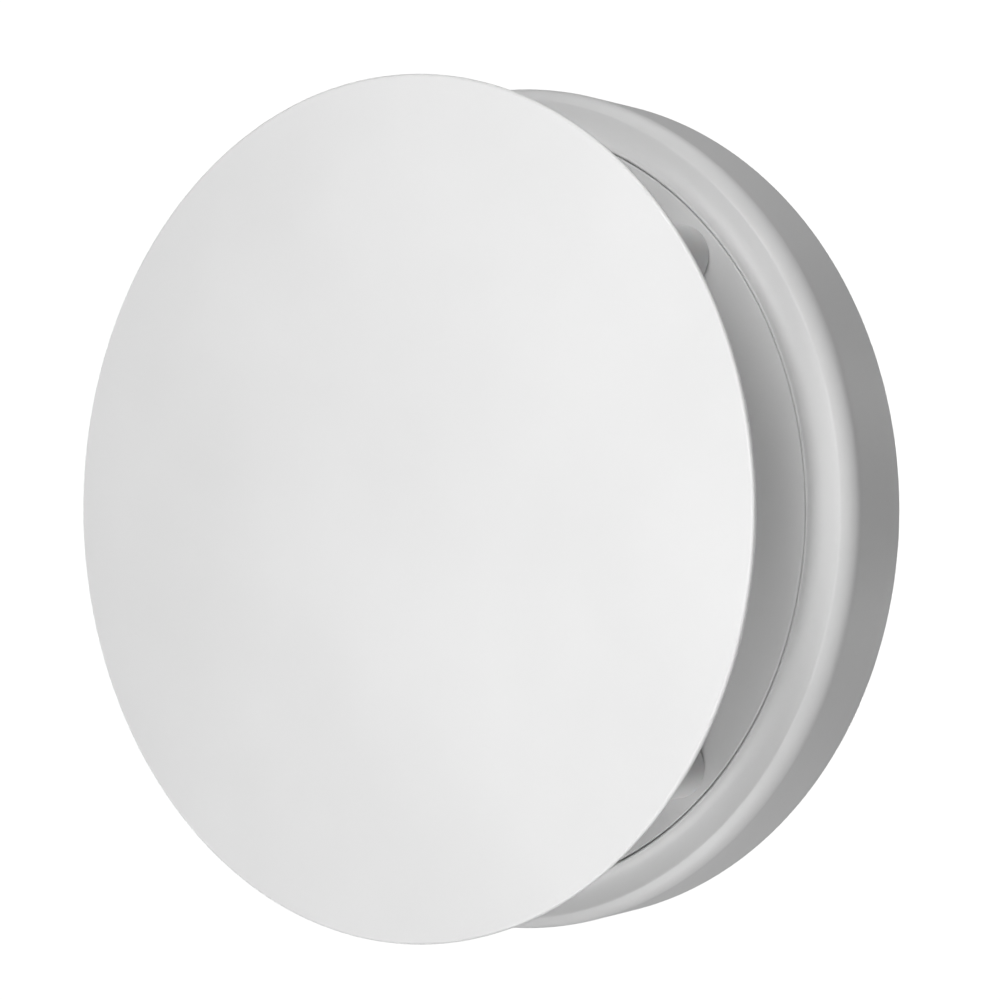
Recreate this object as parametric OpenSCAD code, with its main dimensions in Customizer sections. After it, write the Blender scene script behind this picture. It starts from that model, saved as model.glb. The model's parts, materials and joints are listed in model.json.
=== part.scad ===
// Round air diffuser with a flat front plate on four posts, for a ceiling duct.
// +Z points up into the duct, the ceiling is the plane Z = 0 and the plate faces down.

/* [Front plate] */
// Radius of the front plate
plate_r = 95; // [88:0.5:105]
// Thickness of the front plate
plate_t = 1.5; // [1:0.1:2.5]
// Distance from the ceiling to the plate's front face
stand_off = 57.5; // [55:0.5:62]

/* [Posts] */
// Radius of the circle that the posts stand on
post_circle_r = 77.9; // [77:0.1:78.3]
// Radius of a post
post_r = 6.8; // [5.5:0.1:7.5]
// Angle of the first post from +X
post_angle = 45; // [30:1:60]

/* [Body] */
// Depth of the body, from the ceiling to the seam around the inlet ring
body_h = 24.7; // [24:0.1:26]
// Largest radius of the outer shell
shell_r = 95.8; // [95:0.1:97]
// Wall of the outer shell
shell_t = 1.4; // [1:0.1:1.8]
// Inner radius of the shell's mouth, where the inlet ring sits
mouth_r = 86.5; // [86.3:0.1:87]
// Gap between the inlet ring and the shell's mouth
seam_gap = 0.2; // [0.15:0.05:0.4]

/* [Spigot] */
// Outer radius of the spigot, for a duct of 125 mm bore
spigot_r = 61.7; // [61.4:0.1:62]
// Wall of the spigot
spigot_t = 1.4; // [1:0.1:1.6]
// Height of the spigot above the ceiling plane
spigot_h = 40; // [40:1:46]
// Radius of the four ceiling screw holes
ceiling_hole_r = 2.25; // [2:0.05:2.5]
// Radius of the circle that the ceiling screw holes lie on
ceiling_circle_r = 80; // [79:0.5:81]

/* [Throttle] */
// Radius of the throttle disc
throttle_r = 60.5; // [59.5:0.1:61]
// Height of the throttle disc's rim at rest
throttle_z = -29; // [-31:0.5:-28]
// Radius of the adjusting spindle
spindle_r = 4; // [3.5:0.1:4.5]
// Running clearance on the radius of every shaft
run_gap = 0.05; // [0.02:0.01:0.08]

/* [Hidden] */
$fn = 96;
fine = 180;
small = 32;
face_z = -stand_off;
plate_back_z = face_z + plate_t;

// Outer shell: a shallow cove runs from the mouth out to a crease, from which an arc meets the side wall.
lip_t = 0.7;
lip_r = mouth_r + lip_t;
cove_h = 3;
round_r = 5.25;
crease_a = 30;
cove_w = shell_r - round_r * (1 - sin(crease_a)) - lip_r;
side_z = -body_h + cove_h + round_r * cos(crease_a);
back_draft = 0.6;
back_chamfer = 0.8;
ledge_in_r = 84.8;
ring_t = 1.4;
ring_front_z = -body_h + 0.2;
ring_back_z = ring_front_z + ring_t;

// Inlet ring: a flat rim, then a bellmouth that rises to the throat.
ring_r = mouth_r - seam_gap;
bell_r = 64.5;
throat_r = 58.8;
bell_top_z = -13;
bell_h = bell_top_z - ring_front_z;
neck_top_z = -4;

// Base plate and spigot
base_t = 1.6;
base_z = -3.6;
base_top_z = base_z + base_t;
base_r = shell_r - 3.3;
pad_r = 7;
spigot_in_r = spigot_r - spigot_t;
lead_in = 1.1;
lead_z = 33.5;
spacer_circle_r = 69;
spacer_r = 3.6;
screw_r = 2;

// Snap pins and their bushes
pin_r = 3;
pin_len = 6.5;
post_gap = 0.3;
post_back_z = ring_front_z - post_gap;
bush_r = 5;
bush_flange_r = 6.4;
stud_r = 2;
stud_len = 10;

// Lip seal
seal_z = 26;
seal_h = 6.5;
seal_base_t = 1.1;
seal_lip_r = 64.3;

// Spring clips
clip_first_angle = 90;
clip_w = 12;
clip_t = 0.6;
clip_gap = 0.3;
clip_rivet_z = 3.5;
window_w = 14.5;
window_low_z = 7.5;
window_high_z = 25.2;
rivet_r = 1.5;
rivet_head_r = 2.7;

// Bridge, spindle and throttle
bridge_z = 8;
bridge_t = 2.5;
bridge_w = 16;
bridge_tab_h = 10;
hub_r = 9;
hub_low_z = 6;
hub_high_z = 14;
bush_wall = 1.4;
bush_rim_t = 0.8;
bush_rim_r = 7.5;
collar_r = 6.5;
collar_h = 2;
spindle_low_z = -50;
spindle_high_z = 18;
circlip_z = 15;
circlip_t = 1;
groove_r = 3.2;
guide_x = 28;
guide_r = 2;
guide_high_z = 21;
knob_r = 11;
knob_h = 8;
knob_low_z = -51;
dish_t = 1.2;
dish_rise = 7;
dish_flat_r = 14;
nut_r = 8.5;
nut_h = 14;

// A tube or disc between two heights.
module ring(outer, inner, low, high, sides = $fn) {
    translate([0, 0, low])
        difference() {
            cylinder(r = outer, h = high - low, $fn = sides);
            if (inner > 0)
                translate([0, 0, -1]) cylinder(r = inner, h = high - low + 2, $fn = sides);
        }
}

// A plain round pin or hole between two heights.
module rod(radius, low, high, sides = small) {
    translate([0, 0, low]) cylinder(r = radius, h = high - low, $fn = sides);
}

// Puts its children on a circle, evenly spaced from the first angle.
module around(count, circle_r, first = 0) {
    for (i = [0 : count - 1])
        rotate([0, 0, first + i * 360 / count]) translate([circle_r, 0, 0]) children();
}

// The front plate with its eased edge.
module front_plate() {
    ease = plate_t / 4;
    color("white") rotate_extrude($fn = fine) polygon([
        [0, face_z], [plate_r - ease, face_z], [plate_r, face_z + ease],
        [plate_r, plate_back_z - ease], [plate_r - ease, plate_back_z], [0, plate_back_z]
    ]);
}

// Welded studs that the posts screw on to.
module plate_studs() {
    color("silver") around(4, post_circle_r, post_angle)
        rod(stud_r, plate_back_z, plate_back_z + stud_len);
}

// A post with its snap pin, drilled from the front for the stud.
module plate_post(index) {
    color("white") rotate([0, 0, post_angle + index * 90]) translate([post_circle_r, 0, 0])
        difference() {
            union() {
                rod(post_r, plate_back_z, post_back_z, 64);
                rod(pin_r, post_back_z - 1, post_back_z + pin_len);
            }
            rod(stud_r + run_gap, plate_back_z - 1, plate_back_z + stud_len + 1);
        }
}

// A bush in the inlet ring that grips one post's pin, with a flange behind the ring.
module socket_bush(index) {
    color("dimgray") rotate([0, 0, post_angle + index * 90]) translate([post_circle_r, 0, 0])
        difference() {
            union() {
                rod(bush_r - run_gap, ring_front_z, ring_back_z + 1, 48);
                rod(bush_flange_r, ring_back_z, ring_back_z + 1.2, 48);
                rod(bush_r, ring_back_z + 1, ring_back_z + 4, 48);
            }
            rod(pin_r + run_gap, ring_front_z - 1, ring_back_z + 6);
        }
}

// Point on the bellmouth, 0 degrees at the throat and 90 at the flat rim.
function bell(a, t = 0) = [
    bell_r - (bell_r - throat_r - t) * cos(a),
    bell_top_z - (bell_h - t) * sin(a)
];

module inlet_ring() {
    color("whitesmoke") difference() {
        rotate_extrude($fn = fine) polygon(concat(
            [[ring_r, ring_front_z], [ring_r, ring_back_z], [bell_r, ring_back_z]],
            [for (a = [80 : -10 : 0]) bell(a, ring_t)],
            [[throat_r + ring_t, neck_top_z], [throat_r, neck_top_z]],
            [for (a = [0 : 10 : 90]) bell(a)]
        ));
        around(4, post_circle_r, post_angle) rod(bush_r, ring_front_z - 1, ring_back_z + 1, 48);
        around(4, spacer_circle_r) rod(screw_r + 0.2, ring_front_z - 1, ring_back_z + 1);
    }
}

// Pan-head screws that hold the inlet ring on its spacers.
module ring_screws() {
    head_r = 3.8;
    head_h = 2.2;
    color("silver") around(4, spacer_circle_r) difference() {
        union() {
            rod(screw_r, ring_front_z - 0.5, -14);
            rotate_extrude($fn = small) polygon([
                [0, ring_front_z - head_h], [head_r - 1, ring_front_z - head_h],
                [head_r, ring_front_z - head_h + 1], [head_r, ring_front_z], [0, ring_front_z]
            ]);
        }
        for (turn = [0, 90])
            rotate([0, 0, turn]) translate([-2.2, -0.4, ring_front_z - head_h - 0.5]) cube([4.4, 0.8, 1.6]);
    }
}

// Threaded spacers between the inlet ring and the base plate.
module ring_spacers() {
    color("silver") around(4, spacer_circle_r) difference() {
        rod(spacer_r, ring_back_z, base_z, 6);
        rod(screw_r + run_gap, ring_back_z - 1, -13);
    }
}

// Points of the shell's outer face and, with t, of its inner face.
function cove_norm(a) = norm([cove_h * cos(a), cove_w * sin(a)]);
function cove(a, t = 0) = [
    lip_r + cove_w * (1 - cos(a)) - t * cove_h * cos(a) / cove_norm(a),
    -body_h + cove_h * sin(a) + t * cove_w * sin(a) / cove_norm(a)
];
function round_over(a, t = 0) = [
    shell_r - round_r + (round_r - t) * sin(a),
    side_z - (round_r - t) * cos(a)
];

module outer_shell() {
    ledge_z = ring_back_z;
    color("white") rotate_extrude($fn = fine) polygon(concat(
        [[ledge_in_r, ledge_z], [mouth_r, ledge_z], [mouth_r, -body_h + 0.2], [mouth_r + 0.2, -body_h]],
        [[lip_r - 0.2, -body_h], [lip_r, -body_h + 0.2]],
        [for (a = [10 : 10 : 90]) cove(a)],
        [for (a = [40 : 10 : 90]) round_over(a)],
        [[shell_r - back_draft, -back_chamfer], [shell_r - back_draft - back_chamfer, 0]],
        [[shell_r - back_draft - shell_t, 0], [shell_r - shell_t, side_z]],
        [for (a = [80 : -10 : 30]) round_over(a, shell_t)],
        [for (a = [75 : -10 : 45]) cove(a, shell_t)],
        [[mouth_r - 0.2, ledge_z + 1.6], [ledge_in_r, ledge_z + 1.6]]
    ));
}

// Base plate with the spigot, screw pads, clip windows and the bridge's rivet holes.
module spigot_base() {
    color("gainsboro") difference() {
        union() {
            ring(base_r, spigot_in_r, base_z, base_top_z, fine);
            rotate_extrude($fn = fine) polygon([
                [spigot_in_r, base_z], [spigot_r, base_z], [spigot_r, lead_z - 1],
                [spigot_r - lead_in, lead_z], [spigot_r - lead_in, spigot_h],
                [spigot_in_r - lead_in, spigot_h], [spigot_in_r - lead_in, lead_z],
                [spigot_in_r, lead_z - 1]
            ]);
            around(4, ceiling_circle_r) rod(pad_r, base_z, 0, 48);
        }
        around(4, ceiling_circle_r) rod(ceiling_hole_r, base_z - 1, 1);
        around(3, spigot_in_r - 3, clip_first_angle)
            translate([0, -window_w / 2, window_low_z]) cube([8, window_w, window_high_z - window_low_z]);
        around(3, spigot_in_r - 3, clip_first_angle)
            for (side = [-3.5, 3.5])
                translate([0, side, clip_rivet_z]) rotate([0, 90, 0])
                    cylinder(r = rivet_r + 0.6, h = 8, $fn = small);
        around(2, spigot_in_r - 3)
            translate([0, 0, bridge_z + 6.5]) rotate([0, 90, 0])
                cylinder(r = rivet_r + run_gap, h = 8, $fn = small);
    }
}

// Closed-cell foam ring between the base plate and the ceiling.
module ceiling_gasket() {
    color("lightgray") difference() {
        ring(90, 66, base_top_z, 0, fine);
        around(4, ceiling_circle_r) rod(pad_r + 0.5, base_top_z - 1, 1, 48);
    }
}

// Rubber seal with two lips that lean back towards the ceiling.
module lip_seal() {
    in_r = spigot_r + 0.02;
    band_r = in_r + seal_base_t;
    color("dimgray") rotate_extrude($fn = fine) polygon([
        [in_r, seal_z], [band_r, seal_z], [band_r, seal_z + 1.4],
        [seal_lip_r, seal_z + 0.2], [seal_lip_r, seal_z + 0.9], [band_r, seal_z + 2.6],
        [band_r, seal_z + 4], [seal_lip_r, seal_z + 2.8], [seal_lip_r, seal_z + 3.5],
        [band_r, seal_z + 5.2], [band_r - 0.5, seal_z + seal_h], [in_r, seal_z + seal_h]
    ]);
}

// Foam ring that deadens the hollow between the shell and the base plate.
module absorber_ring() {
    color("gray") ring(89.5, 77.5, -16.5, base_z - 0.2, fine);
}

// Bridge across the spigot that carries the spindle in its hub.
module spindle_bridge() {
    reach = spigot_in_r - 0.1;
    color("silver") difference() {
        union() {
            translate([-reach, -bridge_w / 2, bridge_z]) cube([2 * reach, bridge_w, bridge_t]);
            for (side = [0, 180])
                rotate([0, 0, side]) translate([reach - 5, -bridge_w / 2, bridge_z])
                    cube([5, bridge_w, bridge_tab_h]);
            rod(hub_r, hub_low_z, hub_high_z, 64);
        }
        ring(reach + 10, reach, bridge_z - 1, bridge_z + bridge_tab_h + 1, fine);
        for (side = [0, 180])
            rotate([0, 0, side]) translate([reach - 6, -bridge_w / 2 - 1, bridge_z + bridge_t])
                cube([4, bridge_w + 2, bridge_tab_h]);
        rod(spindle_r + bush_wall, hub_low_z - 1, hub_high_z + 1);
        for (x = [-guide_x, guide_x])
            translate([x, 0, 0]) rod(guide_r + run_gap, bridge_z - 1, bridge_z + bridge_t + 1);
        around(2, reach - 6)
            translate([0, 0, bridge_z + 6.5]) rotate([0, 90, 0])
                cylinder(r = rivet_r + run_gap, h = 9, $fn = small);
    }
}

// One rivet per end of the bridge.
module bridge_rivets() {
    inner = spigot_in_r - 2.2;
    color("silver") around(2, 0) translate([0, 0, bridge_z + 6.5]) rotate([0, 90, 0]) {
        translate([0, 0, inner - 1]) cylinder(r = rivet_r, h = spigot_r + 0.6 - inner, $fn = small);
        translate([0, 0, inner - 1.2]) cylinder(r = rivet_head_r, h = 1, $fn = small);
    }
}

// Plastic bearing bush in the hub, with a rim below it.
module spindle_bush() {
    color("ivory") difference() {
        union() {
            rod(spindle_r + bush_wall - 0.02, hub_low_z, hub_high_z);
            rod(bush_rim_r, hub_low_z - bush_rim_t, hub_low_z);
        }
        rod(spindle_r + run_gap, hub_low_z - 2, hub_high_z + 1);
    }
}

// Spindle with a thrust collar, a circlip groove and a hole for the knob's pin.
module spindle() {
    washer_low_z = hub_low_z - bush_rim_t - 0.9;
    color("silver") difference() {
        union() {
            rod(spindle_r, spindle_low_z, spindle_high_z, 64);
            rod(collar_r, washer_low_z - collar_h, washer_low_z - 0.1, 64);
        }
        ring(spindle_r + 2, groove_r, circlip_z, circlip_z + circlip_t + 0.1);
        translate([0, 10, knob_low_z + 5]) rotate([90, 0, 0]) cylinder(r = 1 + 0.02, h = 20, $fn = small);
    }
}

module thrust_washer() {
    top = hub_low_z - bush_rim_t - 0.1;
    color("tan") ring(7.5, spindle_r + 0.1, top - 0.8, top);
}

module spindle_circlip() {
    color("dimgray") difference() {
        ring(6.4, groove_r + 0.05, circlip_z + 0.05, circlip_z + circlip_t, 64);
        translate([0, -1.5, circlip_z - 1]) cube([8, 3, circlip_t + 2]);
    }
}

// Knob with finger grooves and a screwdriver slot in its face.
module adjusting_knob() {
    color("dimgray") difference() {
        rod(knob_r, knob_low_z, knob_low_z + knob_h, 64);
        around(12, knob_r + 0.9) rod(2, knob_low_z - 1, knob_low_z + knob_h + 1);
        rod(spindle_r + 0.02, spindle_low_z - 0.02, knob_low_z + knob_h + 1);
        translate([-7, -0.8, knob_low_z - 0.5]) cube([14, 1.6, 1.3]);
        translate([0, 12, knob_low_z + 5]) rotate([90, 0, 0]) cylinder(r = 1 + 0.02, h = 24, $fn = small);
    }
}

module knob_pin() {
    color("silver") translate([0, 9, knob_low_z + 5]) rotate([90, 0, 0])
        cylinder(r = 1, h = 18, $fn = small);
}

// Dished throttle disc with a rolled rim, holes for the nut and the guide rods.
module throttle_disc() {
    color("white") difference() {
        rotate_extrude($fn = fine) polygon([
            [0, throttle_z + dish_rise], [dish_flat_r, throttle_z + dish_rise],
            [throttle_r - 3, throttle_z + 0.6], [throttle_r - 1, throttle_z],
            [throttle_r, throttle_z + 0.4], [throttle_r, throttle_z + dish_t],
            [throttle_r - 2.6, throttle_z + dish_t + 0.8],
            [dish_flat_r + 0.3, throttle_z + dish_rise + dish_t], [0, throttle_z + dish_rise + dish_t]
        ]);
        rod(nut_r - 2.5, throttle_z, throttle_z + 20, 64);
        for (x = [-guide_x, guide_x])
            translate([x, 0, 0]) rod(guide_r + run_gap, throttle_z, throttle_z + 20);
    }
}

// Threaded nut, shouldered on top of the disc and flared below it.
module throttle_nut() {
    low = throttle_z + dish_rise;
    color("ivory") difference() {
        union() {
            rod(nut_r, low + dish_t, low + nut_h, 6);
            rod(nut_r - 2.52, low - 1, low + dish_t + 1, 64);
            ring(nut_r - 0.5, nut_r - 3, low - 1.5, low, 64);
        }
        rod(spindle_r + run_gap, low - 5, low + nut_h + 1);
    }
}

// Foam sealing ring on the rim of the throttle disc.
module throttle_seal() {
    color("gray") rotate_extrude($fn = fine) polygon([
        [throttle_r - 5.5, throttle_z + dish_t + 1.9], [throttle_r - 0.8, throttle_z + dish_t + 0.9],
        [throttle_r - 1.2, throttle_z + dish_t + 3], [throttle_r - 5.5, throttle_z + dish_t + 4]
    ]);
}

// Rods that keep the throttle disc from turning, shouldered above it and peened below it.
module guide_rods() {
    color("silver") for (x = [-guide_x, guide_x])
        translate([x, 0, 0]) {
            rod(guide_r, throttle_z + 3.7, guide_high_z);
            rod(guide_r + 1.5, throttle_z + 6.8, throttle_z + 9.5);
            rod(guide_r + 1.2, throttle_z + 3.2, throttle_z + 4.2);
        }
}

// One leaf spring, bent outwards to a crest that grips the duct.
module spring_clip(index) {
    foot_r = spigot_r + clip_gap;
    color("silver") rotate([0, 0, clip_first_angle + index * 120])
        difference() {
            translate([0, clip_w / 2, 0]) rotate([90, 0, 0]) linear_extrude(clip_w) polygon([
                [foot_r, 1], [foot_r, 7], [foot_r + 1.9, 16], [foot_r + 1.6, 19], [foot_r - 0.6, 24],
                [foot_r, 24.3], [foot_r + 2.2, 19.2], [foot_r + 2.6, 15.8],
                [foot_r + clip_t, 6.7], [foot_r + clip_t, 1]
            ]);
            for (side = [-3.5, 3.5])
                translate([foot_r - 1, side, clip_rivet_z]) rotate([0, 90, 0])
                    cylinder(r = rivet_r + run_gap, h = 3, $fn = small);
        }
}

// The two rivets of one clip.
module clip_rivets(index) {
    foot_r = spigot_r + clip_gap;
    color("dimgray") rotate([0, 0, clip_first_angle + index * 120])
        for (side = [-3.5, 3.5])
            translate([0, side, clip_rivet_z]) rotate([0, 90, 0]) {
                translate([0, 0, spigot_in_r + 0.2]) cylinder(r = rivet_r, h = 2.6, $fn = small);
                translate([0, 0, foot_r + clip_t]) cylinder(r = rivet_head_r, h = 0.8, $fn = small);
            }
}

front_plate();
plate_studs();
plate_post(0);  // plate_post_1
plate_post(1);  // plate_post_2
plate_post(2);  // plate_post_3
plate_post(3);  // plate_post_4
socket_bush(0);  // socket_bush_1
socket_bush(1);  // socket_bush_2
socket_bush(2);  // socket_bush_3
socket_bush(3);  // socket_bush_4
inlet_ring();
ring_screws();
ring_spacers();
outer_shell();
spigot_base();
ceiling_gasket();
lip_seal();
absorber_ring();
spindle_bridge();
bridge_rivets();
spindle_bush();
spindle();
thrust_washer();
spindle_circlip();
adjusting_knob();
knob_pin();
throttle_disc();
throttle_nut();
throttle_seal();
guide_rods();
spring_clip(0);  // spring_clip_1
spring_clip(1);  // spring_clip_2
spring_clip(2);  // spring_clip_3
clip_rivets(0);  // clip_rivets_1
clip_rivets(1);  // clip_rivets_2
clip_rivets(2);  // clip_rivets_3
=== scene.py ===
import json
import math

import bpy
from mathutils import Matrix, Vector


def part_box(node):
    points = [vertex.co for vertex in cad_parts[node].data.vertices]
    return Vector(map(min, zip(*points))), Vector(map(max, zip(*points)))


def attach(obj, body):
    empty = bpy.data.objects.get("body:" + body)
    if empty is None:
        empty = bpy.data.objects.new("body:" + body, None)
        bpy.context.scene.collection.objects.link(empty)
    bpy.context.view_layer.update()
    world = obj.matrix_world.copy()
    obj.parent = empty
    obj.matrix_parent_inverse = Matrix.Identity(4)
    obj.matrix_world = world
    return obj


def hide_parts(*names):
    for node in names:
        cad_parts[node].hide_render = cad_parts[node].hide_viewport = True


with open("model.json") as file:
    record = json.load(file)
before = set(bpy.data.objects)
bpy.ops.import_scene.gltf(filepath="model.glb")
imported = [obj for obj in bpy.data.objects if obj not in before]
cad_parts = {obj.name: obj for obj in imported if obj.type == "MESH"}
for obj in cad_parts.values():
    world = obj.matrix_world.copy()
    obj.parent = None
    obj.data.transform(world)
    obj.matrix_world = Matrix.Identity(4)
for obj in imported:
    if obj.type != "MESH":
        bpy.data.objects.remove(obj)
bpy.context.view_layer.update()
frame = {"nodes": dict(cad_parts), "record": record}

mm = 0.001


def low(node, axis=2):
    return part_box(node)[0][axis] / mm   # lowest coordinate of a node, in millimetres


def high(node, axis=2):
    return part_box(node)[1][axis] / mm


# Small helpers for materials

def srgb(code):
    parts = [int(code[i:i + 2], 16) / 255 for i in (1, 3, 5)]
    return [c / 12.92 if c <= 0.04045 else ((c + 0.055) / 1.055) ** 2.4 for c in parts] + [1]


def addNode(material, kind, values=None, links=None, **settings):
    node = material.node_tree.nodes.new(kind)
    for name, value in settings.items():
        setattr(node, name, value)
    for socket, value in (values or {}).items():
        node.inputs[socket].default_value = value
    for socket, source in (links or {}).items():
        material.node_tree.links.new(source, node.inputs[socket])
    return node


def newMaterial(name, values):
    material = bpy.data.materials.new(name)
    material.use_nodes = True
    material.node_tree.nodes.clear()
    shader = addNode(material, "ShaderNodeBsdfPrincipled", values)
    addNode(material, "ShaderNodeOutputMaterial", links={"Surface": shader.outputs["BSDF"]})
    place = addNode(material, "ShaderNodeTexCoord").outputs["Object"]
    return material, shader, place


def link(material, source, target):
    material.node_tree.links.new(source, target)


def perMetre(sizeMm):
    return 1000 / sizeMm   # a texture scale that makes one feature this many millimetres


def stretched(material, place, scale):
    return addNode(material, "ShaderNodeMapping", {"Scale": scale}, {"Vector": place}).outputs["Vector"]


def ranged(material, source, lowest, highest, fromLow=0, fromHigh=1):
    return addNode(material, "ShaderNodeMapRange",
                   {"From Min": fromLow, "From Max": fromHigh, "To Min": lowest, "To Max": highest},
                   {"Value": source}).outputs["Result"]


def blended(material, source, first, second, start=0.3, end=0.7):
    ramp = addNode(material, "ShaderNodeValToRGB", links={"Fac": source})
    stops = ramp.color_ramp.elements
    stops[0].position, stops[1].position = start, end
    stops[0].color, stops[1].color = srgb(first), srgb(second)
    return ramp.outputs["Color"]


def raised(material, shader, source, depthMm, strength=1.0):
    bump = addNode(material, "ShaderNodeBump", {"Strength": strength, "Distance": depthMm * mm},
                   {"Height": source})
    link(material, bump.outputs["Normal"], shader.inputs["Normal"])


# Polyester powder coat on sheet steel: sprayed and baked, a satin skin with faint orange peel
# and a tone that drifts a little from place to place
def powderCoat():
    material, shader, place = newMaterial("powderCoatedSteelWhite", {"IOR": 1.5})
    cloud = addNode(material, "ShaderNodeTexNoise", {"Scale": perMetre(45), "Detail": 2}, {"Vector": place})
    link(material, blended(material, cloud.outputs["Fac"], "#F0F0F0", "#F4F4F4"), shader.inputs["Base Color"])
    peel = addNode(material, "ShaderNodeTexNoise", {"Scale": perMetre(1.8), "Detail": 3, "Roughness": 0.45},
                   {"Vector": place})
    raised(material, shader, peel.outputs["Fac"], 0.05, 0.10)
    link(material, ranged(material, peel.outputs["Fac"], 0.33, 0.42), shader.inputs["Roughness"])
    return material


# Injection-moulded ABS: spark-eroded tool skin, a shade darker and duller than the coat
def mouldedAbs():
    material, shader, place = newMaterial("mouldedAbsWhite", {"IOR": 1.54, "Subsurface Weight": 0.05,
                                                              "Subsurface Scale": 0.001})
    cloud = addNode(material, "ShaderNodeTexNoise", {"Scale": perMetre(9), "Detail": 2}, {"Vector": place})
    link(material, blended(material, cloud.outputs["Fac"], "#EAEAEA", "#EFEFEF"), shader.inputs["Base Color"])
    skin = addNode(material, "ShaderNodeTexVoronoi", {"Scale": perMetre(0.5)}, {"Vector": place})
    raised(material, shader, skin.outputs["Distance"], 0.02, 0.25)
    link(material, ranged(material, skin.outputs["Distance"], 0.40, 0.52), shader.inputs["Roughness"])
    return material


# Bright zinc plate with a clear passivation: bluish, slightly cloudy from the bath
def zincPlate():
    material, shader, place = newMaterial("zincPlatedSteel", {"Metallic": 1.0})
    cloud = addNode(material, "ShaderNodeTexNoise", {"Scale": perMetre(4), "Detail": 4}, {"Vector": place})
    link(material, blended(material, cloud.outputs["Fac"], "#B9BEC4", "#D6D9DA"), shader.inputs["Base Color"])
    link(material, ranged(material, cloud.outputs["Fac"], 0.22, 0.42), shader.inputs["Roughness"])
    grain = addNode(material, "ShaderNodeTexNoise", {"Scale": perMetre(0.6), "Detail": 2}, {"Vector": place})
    raised(material, shader, grain.outputs["Fac"], 0.015, 0.3)
    return material


# Hot-dip galvanised sheet: zinc crystals 6 to 9 mm wide, each with its own tone and gloss
def galvanisedSheet():
    material, shader, place = newMaterial("galvanisedSheetSteel", {"Metallic": 1.0})
    warp = addNode(material, "ShaderNodeTexNoise", {"Scale": perMetre(5), "Detail": 2}, {"Vector": place})
    bent = addNode(material, "ShaderNodeMix", {"Factor": 0.003}, data_type="VECTOR", clamp_factor=False)
    link(material, place, bent.inputs[4])
    link(material, warp.outputs["Color"], bent.inputs[5])
    spangle = addNode(material, "ShaderNodeTexVoronoi", {"Scale": perMetre(7)}, {"Vector": bent.outputs[1]})
    tone = addNode(material, "ShaderNodeSeparateColor", links={"Color": spangle.outputs["Color"]})
    link(material, blended(material, tone.outputs[0], "#A9AEB1", "#CBCFD0", 0.05, 0.95),
         shader.inputs["Base Color"])
    link(material, ranged(material, tone.outputs[1], 0.30, 0.48), shader.inputs["Roughness"])
    edge = addNode(material, "ShaderNodeTexVoronoi", {"Scale": perMetre(7)}, {"Vector": bent.outputs[1]},
                   feature="DISTANCE_TO_EDGE")
    raised(material, shader, ranged(material, edge.outputs["Distance"], 0, 1, 0, 0.05), 0.01, 0.3)
    return material


# Turned bright steel: tool marks run round the shaft, drawn 0.35 mm apart so that they show
def turnedSteel():
    material, shader, place = newMaterial("turnedBrightSteel", {"Metallic": 1.0})
    marks = addNode(material, "ShaderNodeTexWave", {"Scale": perMetre(0.35) / 20, "Distortion": 0.6},
                    {"Vector": stretched(material, place, (0.05, 0.05, 1))}, bands_direction="Z")
    oil = addNode(material, "ShaderNodeTexNoise", {"Scale": perMetre(6), "Detail": 3}, {"Vector": place})
    link(material, blended(material, oil.outputs["Fac"], "#9FA1A3", "#B8BABB"), shader.inputs["Base Color"])
    link(material, ranged(material, oil.outputs["Fac"], 0.18, 0.34), shader.inputs["Roughness"])
    raised(material, shader, marks.outputs["Fac"], 0.01, 0.3)
    return material


# Hardened spring strip: rolled lines along the strip's height and a faint straw tint from tempering
def springStrip():
    material, shader, place = newMaterial("temperedSpringSteel", {"Metallic": 1.0})
    lines = addNode(material, "ShaderNodeTexNoise", {"Scale": perMetre(0.4), "Detail": 3},
                    {"Vector": stretched(material, place, (1, 1, 0.04))})
    heat = addNode(material, "ShaderNodeTexNoise", {"Scale": perMetre(10), "Detail": 1}, {"Vector": place})
    link(material, blended(material, heat.outputs["Fac"], "#7E8084", "#98938A"), shader.inputs["Base Color"])
    link(material, ranged(material, lines.outputs["Fac"], 0.20, 0.40), shader.inputs["Roughness"])
    raised(material, shader, lines.outputs["Fac"], 0.01, 0.25)
    return material


# Phosphated steel: a dull black crystalline coat that holds oil
def phosphatedSteel():
    material, shader, place = newMaterial("phosphatedSteel", {"Metallic": 0.7})
    grain = addNode(material, "ShaderNodeTexNoise", {"Scale": perMetre(0.5), "Detail": 4}, {"Vector": place})
    link(material, blended(material, grain.outputs["Fac"], "#1D1D1F", "#333336"), shader.inputs["Base Color"])
    link(material, ranged(material, grain.outputs["Fac"], 0.42, 0.65), shader.inputs["Roughness"])
    raised(material, shader, grain.outputs["Fac"], 0.02, 0.3)
    return material


# A moulded plastic: colours, gloss, grain width and depth set the kind
def mouldedPlastic(name, dark, light, grainMm, depthMm, smoothest, roughest, ior, glow=0.0):
    material, shader, place = newMaterial(name, {"IOR": ior, "Subsurface Weight": glow,
                                                 "Subsurface Scale": 0.001})
    cloud = addNode(material, "ShaderNodeTexNoise", {"Scale": perMetre(6), "Detail": 3}, {"Vector": place})
    link(material, blended(material, cloud.outputs["Fac"], dark, light), shader.inputs["Base Color"])
    grain = addNode(material, "ShaderNodeTexNoise", {"Scale": perMetre(grainMm), "Detail": 3},
                    {"Vector": place})
    link(material, ranged(material, grain.outputs["Fac"], smoothest, roughest), shader.inputs["Roughness"])
    raised(material, shader, grain.outputs["Fac"], depthMm, 0.35)
    return material


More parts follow.
